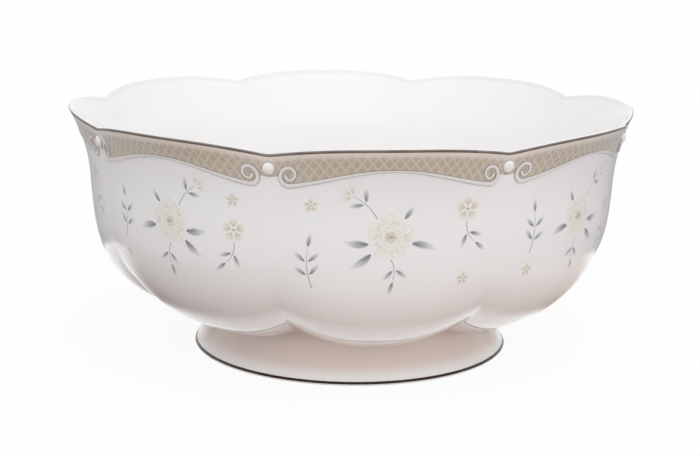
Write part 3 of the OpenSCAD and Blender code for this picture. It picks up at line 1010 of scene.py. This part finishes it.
def scroll_path(ogee_steps=60, curl_steps=100):
    """Middle line and half width of a scroll: an ogee out to each curl, then a spiral in to its eye.

    The ribbon swells evenly from the lobe's middle to the curl and thins again on the way to the eye.
    """
    trim = trim_props()
    swell = trim.ribbon_w - trim.ribbon_end_w
    out = np.linspace(0, 1, ogee_steps + 1)
    along = curl_place() * out
    share = np.arange(1, curl_steps + 1) / curl_steps
    radius = trim.curl_r + (EYE_SHARE * trim.ribbon_w - trim.curl_r) * share
    turn = trim.curl_turn * share
    curl_along = curl_place() + radius * np.sin(turn)
    curl_down = trim.band_low - trim.curl_r + radius * np.cos(turn)
    ogee = np.stack([along, band_depth(along), (trim.ribbon_end_w + swell * out) / 2], axis=-1)
    curl = np.stack([curl_along, curl_down, (trim.ribbon_w - swell * share) / 2], axis=-1)
    right = np.concatenate([ogee, curl])
    rows = np.concatenate([right[:0:-1] * [-1, 1, 1], right])
    return rows[:, :2], rows[:, 2]


def sides_of(path):
    """Unit vectors to the left of a flat path."""
    ahead = np.gradient(path, axis=0)
    ahead /= np.linalg.norm(ahead, axis=1, keepdims=True)
    return np.stack([-ahead[:, 1], ahead[:, 0]], axis=-1)


def widened(path, half, across):
    """A flat grid about a path, as wide to each side as half says, with columns at the shares across."""
    return path[:, None] + sides_of(path)[:, None] * (half[:, None] * across)[..., None]


def beaded(path, half):
    """Half widths with a bead at each end: a bell near the end, and a quarter circle that closes it."""
    step = np.linalg.norm(np.diff(path, axis=0), axis=1)
    run = np.concatenate([[0.0], np.cumsum(step)])
    from_end = np.minimum(run, run[-1] - run)
    swollen = half * (1 + BEAD_SWELL * np.exp(-((from_end / half.min() - BEAD_PLACE) ** 2)))
    closing = np.sqrt(1 - (1 - np.minimum(1, from_end / half.min())) ** 2)
    return swollen * np.maximum(closing, BEAD_LEAST)


class BOWL_OT_scrolls(Operator):
    """Raised enamel ribbons along the lower edge of the band."""

    bl_idname = "bowl.scrolls"
    bl_label = "Scrolls"

    def execute(self, context):
        trim = trim_props()
        path, half = scroll_path()
        half = beaded(path, half)
        turn = np.linspace(0, np.pi, RIBBON_RINGS)
        across = np.cos(turn)
        flat = widened(path, half, across)
        height = trim.film_t + trim.scroll_t * np.sin(turn) ** RIBBON_ROUNDING
        inwards = half[:, None] * (1 - np.abs(across)) / MM
        share = np.linspace(0, 1, len(path))[:, None]
        uv = np.stack(np.broadcast_arrays(share, inwards), axis=-1)
        rows, cols = flat.shape[:2]
        caps = [list(range(cols)), list(range((rows - 1) * cols, rows * cols))[::-1]]
        faces = grid_faces(rows, cols, wrap_cols=True).tolist() + caps
        for i in lobe_numbers():
            points = on_band(i, flat[..., 0], flat[..., 1], height)
            ribbon = new_piece(f"scroll_ribbon_{i}", points, faces, uv, ENAMEL_SHARP)
            settle(ribbon, finish("raised_scroll", relief_finish), f"scroll_{i}")
        return {"FINISHED"}


PEARL_STEPS = 48
PEARL_RINGS = 17
PEARL_ROUNDING = 0.8


class BOWL_OT_pearls(Operator):
    """Raised enamel pearls at the flutes."""

    bl_idname = "bowl.pearls"
    bl_label = "Pearls"

    def execute(self, context):
        trim = trim_props()
        z = edge_z(1.0) - trim.pearl_drop
        turn = np.linspace(0, np.pi / 2, PEARL_RINGS)[:-1]
        height = trim.pearl_t * np.sin(turn) ** PEARL_ROUNDING
        dome = around(trim.pearl_d / 2 * np.cos(turn), even_turns(PEARL_STEPS), height)
        points = np.concatenate([dome.reshape(-1, 3), [[0, 0, 0], [0, 0, trim.pearl_t]]])
        faces = capped_faces(*dome.shape[:2])
        beside = flute_share(lobe_angle() / 2 + trim.pearl_d / 2 / band_r())
        edge = z + trim.pearl_d / 2
        seat = max(0.0, float(wall_r(beside, edge) - wall_r(1.0, edge))) + trim.film_t
        tilt = Matrix.Rotation(math.pi / 2 + math.atan(wall_slope(1.0, z)), 4, "Y")
        for i in lobe_numbers():
            angle = lobe_middle(i) + lobe_angle() / 2
            place = Matrix.Translation(Vector(on_wall(angle, z, seat)))
            stand = np.array(place @ Matrix.Rotation(angle, 4, "Z") @ tilt)
            stood = points @ stand[:3, :3].T + stand[:3, 3]
            pearl = new_piece(f"enamel_pearl_{i}", stood, faces, sharp=ENAMEL_SHARP)
            settle(pearl, finish("domed_pearl", pearl_finish), f"pearl_{i}")
        return {"FINISHED"}


# Flowers

BLADE_LEAST = 0.06 * MM
BLADE_START = 0.03
BLADE_RUN = 0.95
BLADE_ROUNDING = 0.9
DISC_LEAST = 0.001
STEM_FOOT = 1.1
STEM_TAPER = 0.4
LEAFLET_WIDTH = 0.44
LEAFLET_SPREAD = 48
PETALS = 5
PETAL_START = 0.24
LAYER_STEP = 1.5


def towards(angle):
    """Unit vector at an angle in degrees."""
    return np.array([math.cos(math.radians(angle)), math.sin(math.radians(angle))])


def bent(start, angle, size, bend, u):
    """A point u of the way along a path that bends evenly by bend degrees."""
    return start + size * u * towards(angle + bend * u)


def heading(angle, bend, u):
    """The direction of such a path at u, in degrees."""
    return angle + bend * u + math.degrees(math.atan(math.radians(bend * u)))


def stroke(start, angle, size, half_width, layer, kind, bend=0.0, steps=24, across=9):
    """One petal, leaf or stem: a path that bends evenly, as wide to each side as half_width(u) says."""
    u = np.linspace(0, 1, steps + 1)
    way = np.radians(angle + bend * u)
    path = np.asarray(start, float) + size * u[:, None] * np.stack([np.cos(way), np.sin(way)], axis=-1)
    v = np.linspace(-1, 1, across)
    uv = np.stack(np.broadcast_arrays(u[:, None], (v + 1) / 2), axis=-1)
    return {"flat": widened(path, half_width(u), v), "uv": uv, "layer": layer, "kind": kind}


def blade(start, angle, size, width, layer, kind, blunt=1.0, bend=0.0):
    """A petal or leaf whose width follows a sine that blunt pushes towards the tip."""

    def half(u):
        wave = np.sin(np.pi * (BLADE_START + BLADE_RUN * u) ** blunt)
        return BLADE_LEAST + width / 2 * wave**BLADE_ROUNDING

    return stroke(start, angle, size, half, layer, kind, bend)


def disc(middle, diameter, layer):
    """A round dot in a blossom's heart: its half width is that of a circle."""

    def half(u):
        return diameter * np.sqrt(np.maximum(u * (1 - u), DISC_LEAST))

    start = np.asarray(middle) - [diameter / 2, 0]
    return stroke(start, 0, diameter, half, layer, HEART, steps=12, across=7)


def leafy_stem(start, angle, size, bend, pairs, leaf_size, tip=False):
    """A tapering stem with leaflets on both sides at each share in pairs, and one at its tip if asked."""
    gap, width = flower_props().leaf_gap, flower_props().stem_w

    def half(u):
        return width / 2 * (STEM_FOOT - STEM_TAPER * u)

    leaf_w = LEAFLET_WIDTH * leaf_size
    parts = [stroke(start, angle, size, half, 0, STEM, bend, across=5)]
    for u in pairs:
        along = heading(angle, bend, u)
        for side in (-1, 1):
            foot = bent(start, angle, size, bend, u) + gap * side * towards(along + 90)
            parts.append(blade(foot, along + LEAFLET_SPREAD * side, leaf_size, leaf_w, 0, LEAF))
    if tip:
        last = heading(angle, bend, 1)
        foot = bent(start, angle, size, bend, 1) + gap * towards(last)
        parts.append(blade(foot, last, leaf_size, leaf_w, 0, LEAF))
    return parts


def petals(size, width, turn, layer, kind, blunt):
    """A ring of petals that leave the middle of the blossom free."""
    ways = [turn + 360 / PETALS * j for j in range(PETALS)]
    run = (1 - PETAL_START) * size
    return [blade(PETAL_START * size * towards(way), way, run, width, layer, kind, blunt) for way in ways]


# A spray's shares of the petal's and leaf's length, and its angles in degrees
SPRAY_RIM = 0.98
SPRAY_RINGS = (
    {"size": 1.0, "width": 1.0, "turn": 18, "layer": 0, "blunt": 1.5},
    {"size": 0.62, "width": 0.58, "turn": 54, "layer": 1, "blunt": 1.4},
    {"size": 0.4, "width": 0.36, "turn": 18, "layer": 2, "blunt": 1.4},
)
SPRAY_LEAVES = (
    {"out": 1.0, "at": 198, "angle": 182, "size": 1.0, "width": 0.46, "bend": 14},
    {"out": 1.0, "at": 342, "angle": 352, "size": 1.0, "width": 0.46, "bend": 14},
    {"out": 1.14, "at": 318, "angle": 310, "size": 1.0, "width": 0.46, "bend": 14},
    {"out": 1.0, "at": 126, "angle": 132, "size": 0.62, "width": 0.3, "bend": -10},
)
STAMENS = 9
STAMEN_PLACE = 0.19
STAMEN_SIZE = 0.05
HEART_SIZE = 0.26
SMALL_HEART_SIZE = 0.3
LEAF_BLUNTNESS = 0.9
BOUGH_AT = 54
BOUGH_ANGLE = 62
BOUGH_SIZE = 1.35
BOUGH_BEND = -18
BUD_ANGLE = 30
BUD_SPREAD = 72
BUD_FAN = 44
BUD_GAP = 1.2
BUD_SIZE = 0.52
BUD_WIDTH = 0.22


def spray_strokes():
    """A full blossom with leaves, a budded bough above and a leafy tail below."""
    petal, leaf = flower_props().petal_l, flower_props().leaf_l
    rim = SPRAY_RIM * petal
    parts = []
    for ring in SPRAY_RINGS:
        size, width = ring["size"] * petal, ring["width"] * petal
        parts += petals(size, width, ring["turn"], ring["layer"], PETAL, ring["blunt"])
    heart_layer = len(SPRAY_RINGS)
    for j in range(STAMENS):
        place = STAMEN_PLACE * petal * towards(360 * j / STAMENS)
        parts.append(disc(place, STAMEN_SIZE * petal, heart_layer))
    parts.append(disc((0, 0), HEART_SIZE * petal, heart_layer))
    for row in SPRAY_LEAVES:
        place = row["out"] * rim * towards(row["at"])
        size, width = row["size"] * leaf, row["width"] * leaf
        parts.append(blade(place, row["angle"], size, width, 0, LEAF, LEAF_BLUNTNESS, row["bend"]))
    bough = rim * towards(BOUGH_AT)
    bough_l = BOUGH_SIZE * leaf
    parts += leafy_stem(bough, BOUGH_ANGLE, bough_l, BOUGH_BEND, pairs=[0.6], leaf_size=0.6 * leaf)
    bud = bent(bough, BOUGH_ANGLE, bough_l, BOUGH_BEND, 1)
    for side in (-1, 0, 1):
        foot = bud + BUD_GAP * flower_props().leaf_gap * towards(BUD_ANGLE + BUD_SPREAD * side)
        angle = BUD_ANGLE + BUD_FAN * side
        parts.append(blade(foot, angle, BUD_SIZE * petal, BUD_WIDTH * petal, 0, PETAL, blunt=1.3))
    tail = leafy_stem(
        start=rim * towards(268),
        angle=238,
        size=0.9 * leaf,
        bend=24,
        pairs=[0.55],
        leaf_size=0.58 * leaf,
        tip=True,
    )
    return parts + tail


def star_strokes(size, width, blunt):
    """A ring of petals about a heart."""
    ring = petals(size, width * size, turn=90, layer=0, kind=STAR, blunt=blunt)
    return ring + [disc((0, 0), SMALL_HEART_SIZE * size, layer=1)]


def sprig_strokes():
    """A small blossom on a leafy stalk."""
    star = flower_props().star_l
    stalk = leafy_stem(
        start=star * towards(270),
        angle=276,
        size=1.9 * star,
        bend=-30,
        pairs=[0.55],
        leaf_size=1.2 * star,
        tip=True,
    )
    return star_strokes(star, width=0.94, blunt=1.5) + stalk


def floret_strokes():
    """A loose floret with pointed petals."""
    return star_strokes(flower_props().floret_l, width=0.56, blunt=0.9)


def twig_strokes():
    """A bent twig with two pairs of leaflets and one at its tip."""
    size = flower_props().twig_l
    return leafy_stem(
        start=np.zeros(2),
        angle=70,
        size=size,
        bend=15,
        pairs=[0.35, 0.68],
        leaf_size=0.36 * size,
        tip=True,
    )


def on_belly(strokes, i, angle, drop):
    """Closed films of strokes on the wall about a place below the lip, mirrored in every other lobe."""
    film, belly = trim_props().film_t, wall_props().belly_r
    way = 1 if i % 2 == 0 else -1
    films = []
    for part in strokes:
        flat = part["flat"][:, ::way]
        at = angle + way * flat[..., 0] / belly
        up = wall_props().lip_h - drop + flat[..., 1]
        low = LAYER_STEP * film * part["layer"]
        points, faces = shell(on_wall(at, up, low + film), on_wall(at, up, low))
        uv = part["uv"][:, ::way].reshape(-1, 2)
        kinds = np.full(len(faces), part["kind"], dtype=np.int32)
        films.append((points, faces, np.concatenate([uv, uv]), kinds))
    return films


def flower_piece(name, films, node):
    """Films joined in one piece that has every painted finish."""
    points, faces, uv, kinds = zip(*films)
    starts = np.cumsum([0] + [len(film) for film in points])
    joined = np.concatenate([film + start for film, start in zip(faces, starts)])
    piece = new_piece(name, np.concatenate(points), joined.tolist(), np.concatenate(uv))
    settle(piece, [stored(bpy.data.materials, key, stroke_finish) for key in STROKES], node)
    piece.data.polygons.foreach_set("material_index", np.concatenate(kinds))


def side_pieces(strokes, side, drop, name, node):
    """Pieces on one side (1 or -1) of the sprays, each with a loose floret above or below it.

    In every other lobe they lie a step lower (1) or higher (-1), and the floret changes over.
    """
    flowers = flower_props()
    for i in lobe_numbers():
        stepped = i % 2 == 0
        angle = lobe_middle(i) + side * flowers.side_share * lobe_angle()
        floret_drop = flowers.floret_high_drop if stepped == (side > 0) else flowers.floret_low_drop
        films = on_belly(strokes, i, angle, drop + side * flowers.scatter_step * stepped)
        films += on_belly(floret_strokes(), i, angle, floret_drop)
        flower_piece(f"{name}_{i}", films, f"{node}_{i}")


class BOWL_OT_sprays(Operator):
    """Flower sprays in the middle of the lobes."""

    bl_idname = "bowl.sprays"
    bl_label = "Sprays"

    def execute(self, context):
        strokes = spray_strokes()
        for i in lobe_numbers():
            films = on_belly(strokes, i, lobe_middle(i), flower_props().spray_drop)
            flower_piece(f"flower_spray_{i}", films, f"spray_{i}")
        return {"FINISHED"}


class BOWL_OT_sprigs(Operator):
    """Small blossoms on stalks beside the sprays, each with a loose floret above or below it."""

    bl_idname = "bowl.sprigs"
    bl_label = "Sprigs"

    def execute(self, context):
        side_pieces(sprig_strokes(), 1, flower_props().sprig_drop, "flower_sprig", "sprig")
        return {"FINISHED"}


class BOWL_OT_twigs(Operator):
    """Leaf twigs beside the sprays, each with a loose floret above or below it."""

    bl_idname = "bowl.twigs"
    bl_label = "Leaf twigs"

    def execute(self, context):
        side_pieces(twig_strokes(), -1, flower_props().twig_drop, "leaf_twig", "twig")
        return {"FINISHED"}


# Stage

FLOOR_REACH = 4.0
TURN_SOFTNESS = 12 * MM
GLOW_SOFTNESS = 10 * MM
GLOW_NARROWING = 1.5
LEFT_RANGE = (0.0, -140 * MM)
RIGHT_RANGE = (90 * MM, 160 * MM)
BEHIND_RANGE = (-20 * MM, 60 * MM)


def place_camera():
    """The camera on a sphere about the point that it looks at, rolled about its own line of sight."""
    stage = stage_props()
    aim = Vector((-stage.aim_side, 0.0, stage.aim_h))
    flat, high = math.cos(stage.elevation), math.sin(stage.elevation)
    out = Vector((flat * math.sin(stage.azimuth), -flat * math.cos(stage.azimuth), high))
    data = bpy.data.cameras.new("camera")
    data.sensor_width = SENSOR_WIDTH
    data.lens = stage.focal_px / PHOTO_WIDTH * SENSOR_WIDTH
    data.clip_start = 0.01
    camera = bpy.data.objects.new("camera", data)
    turn = out.to_track_quat("Z", "Y").to_matrix().to_4x4()
    stand = Matrix.Translation(aim + stage.distance * out)
    camera.matrix_world = stand @ turn @ Matrix.Rotation(stage.roll, 4, "Z")
    bpy.context.scene.collection.objects.link(camera)
    bpy.context.scene.camera = camera


def light_path(tree):
    """Which kinds of ray meet the surface."""
    return add_node(tree, "ShaderNodeLightPath").outputs


def floor_finish():
    """White where the camera sees it, with a share that keeps the shadow.

    On things it throws a bright light from a narrow patch at the foot, a warm one from close by and a
    plain one from farther out. Mirrored in the glaze it is white round the foot and behind the bowl, and
    tinted elsewhere.
    """
    stage = stage_props()
    shader = Shader("white_floor").set(Roughness=0.9, Specular_IOR_Level=0.0)
    tree = shader.tree
    rays = light_path(tree)
    seen, glossy = rays["Is Camera Ray"], rays["Is Glossy Ray"]
    place = object_place(tree)
    parts = parts_of(tree, place)
    distance = vector_node(tree, "LENGTH", place)["Value"]
    narrowed = vector_node(tree, "MULTIPLY", place, (GLOW_NARROWING, 1.0, 1.0))["Vector"]
    patch = (stage.floor_glow + GLOW_SOFTNESS, stage.floor_glow - GLOW_SOFTNESS)
    far = ramp(tree, distance, stage.floor_turn - TURN_SOFTNESS, stage.floor_turn + TURN_SOFTNESS)
    # Painted light and shade in the floor's colour, for the light it throws on the bowl: warmer close by, a
    # painted patch of shade on the left, lighter to the right, and a painted pool of light round the foot
    near = blend_colour(tree, ramp(tree, parts["X"], *LEFT_RANGE), stage.floor_near, stage.floor_left)
    near = blend_colour(tree, ramp(tree, parts["X"], *RIGHT_RANGE), near, stage.floor_right)
    glow = ramp(tree, vector_node(tree, "LENGTH", narrowed)["Value"], *patch)
    outer = blend_colour(tree, glossy, stage.floor_far, stage.floor_mirror)
    tone = blend_colour(tree, glow, blend_colour(tree, far, near, outer), stage.floor_bright)
    shader.feed("Base Color", blend_colour(tree, seen, tone, WHITE))
    # Mirrored in the glaze, the floor round the foot and behind the bowl glows white, which paints a bright
    # reflection
    white = add_node(tree, "ShaderNodeEmission", {"Color": (*WHITE, 1.0), "Strength": 1.0})
    behind = less(tree, ramp(tree, parts["Y"], *BEHIND_RANGE), far, clamp=True)
    mirrored = times(tree, glossy, larger(tree, ramp(tree, distance, *patch), behind))
    share = larger(tree, times(tree, seen, 1 - stage.shadow), mirrored)
    mix = add_node(tree, "ShaderNodeMixShader", {0: share, 1: shader.bsdf.outputs[0], 2: white.outputs[0]})
    tree.links.new(mix.outputs[0], tree.nodes["Material Output"].inputs["Surface"])
    return shader.material


def studio_world():
    """White where it is seen; on things it shines from the front and from a ring overhead.

    The front falls off as a cosine. The ring's light is the height times one less its square, so the
    zenith stays dim and the bowl's floor isn't too light.
    """
    stage = stage_props()
    world = bpy.data.worlds.new("studio")
    world.use_nodes = True
    bpy.context.scene.world = world
    tree = world.node_tree
    sky = tree.nodes["Background"]
    sky.inputs["Color"].default_value = (*WHITE, 1.0)
    rays = light_path(tree)
    seen = larger(tree, rays["Is Camera Ray"], rays["Is Glossy Ray"])
    seen = larger(tree, seen, rays["Is Transmission Ray"])
    way = add_node(tree, "ShaderNodeTexCoord").outputs["Generated"]
    facing = vector_node(tree, "DOT_PRODUCT", way, stage.front)["Value"]
    front = times(tree, larger(tree, facing, 0.0), stage.sky_front)
    height = larger(tree, parts_of(tree, way)["Z"], 0.0)
    dim = less(tree, 1.0, times(tree, height, height))
    ring = times(tree, times(tree, height, dim), stage.sky_top)
    level = math_node(tree, "ADD", front, ring)
    shown = add_node(tree, "ShaderNodeMix", {0: seen, 2: level, 3: 1.0}, data_type="FLOAT").outputs[0]
    tree.links.new(shown, sky.inputs["Strength"])


class BOWL_OT_stage(Operator):
    """Camera, white floor and sky."""

    bl_idname = "bowl.stage"
    bl_label = "Stage"

    def execute(self, context):
        place_camera()
        corners = FLOOR_REACH * np.array([[-1, -1, 0], [1, -1, 0], [1, 1, 0], [-1, 1, 0]])
        floor = new_piece("floor", corners, [[0, 1, 2, 3]])
        floor.data.materials.append(floor_finish())
        studio_world()
        context.scene.view_settings.view_transform = "Standard"
        return {"FINISHED"}


class BOWL_PT_pieces(Panel):
    """Lists the pieces of the bowl."""

    bl_idname = "BOWL_PT_pieces"
    bl_label = "Porcelain bowl"
    bl_space_type = "VIEW_3D"
    bl_region_type = "UI"
    bl_category = "Bowl"

    def draw(self, context):
        for operator in OPERATORS:
            self.layout.operator(operator.bl_idname)
        for key in GROUPS:
            box = self.layout.box()
            group = getattr(context.scene, key)
            for name in group.__annotations__:
                box.prop(group, name)


OPERATORS = (
    BOWL_OT_body,
    BOWL_OT_foot,
    BOWL_OT_metal_lines,
    BOWL_OT_trellis,
    BOWL_OT_scrolls,
    BOWL_OT_pearls,
    BOWL_OT_sprays,
    BOWL_OT_sprigs,
    BOWL_OT_twigs,
    BOWL_OT_stage,
)


def register():
    for key, group in GROUPS.items():
        bpy.utils.register_class(group)
        setattr(bpy.types.Scene, key, PointerProperty(type=group))
    for cls in (*OPERATORS, BOWL_PT_pieces):
        bpy.utils.register_class(cls)


def unregister():
    for cls in (BOWL_PT_pieces, *reversed(OPERATORS)):
        bpy.utils.unregister_class(cls)
    for key, group in GROUPS.items():
        delattr(bpy.types.Scene, key)
        bpy.utils.unregister_class(group)


def main():
    register()
    bpy.ops.bowl.body()
    bpy.ops.bowl.foot()
    bpy.ops.bowl.metal_lines()
    bpy.ops.bowl.trellis()
    bpy.ops.bowl.scrolls()
    bpy.ops.bowl.pearls()
    bpy.ops.bowl.sprays()
    bpy.ops.bowl.sprigs()
    bpy.ops.bowl.twigs()
    bpy.ops.bowl.stage()


if __name__ == "__main__":
    main()
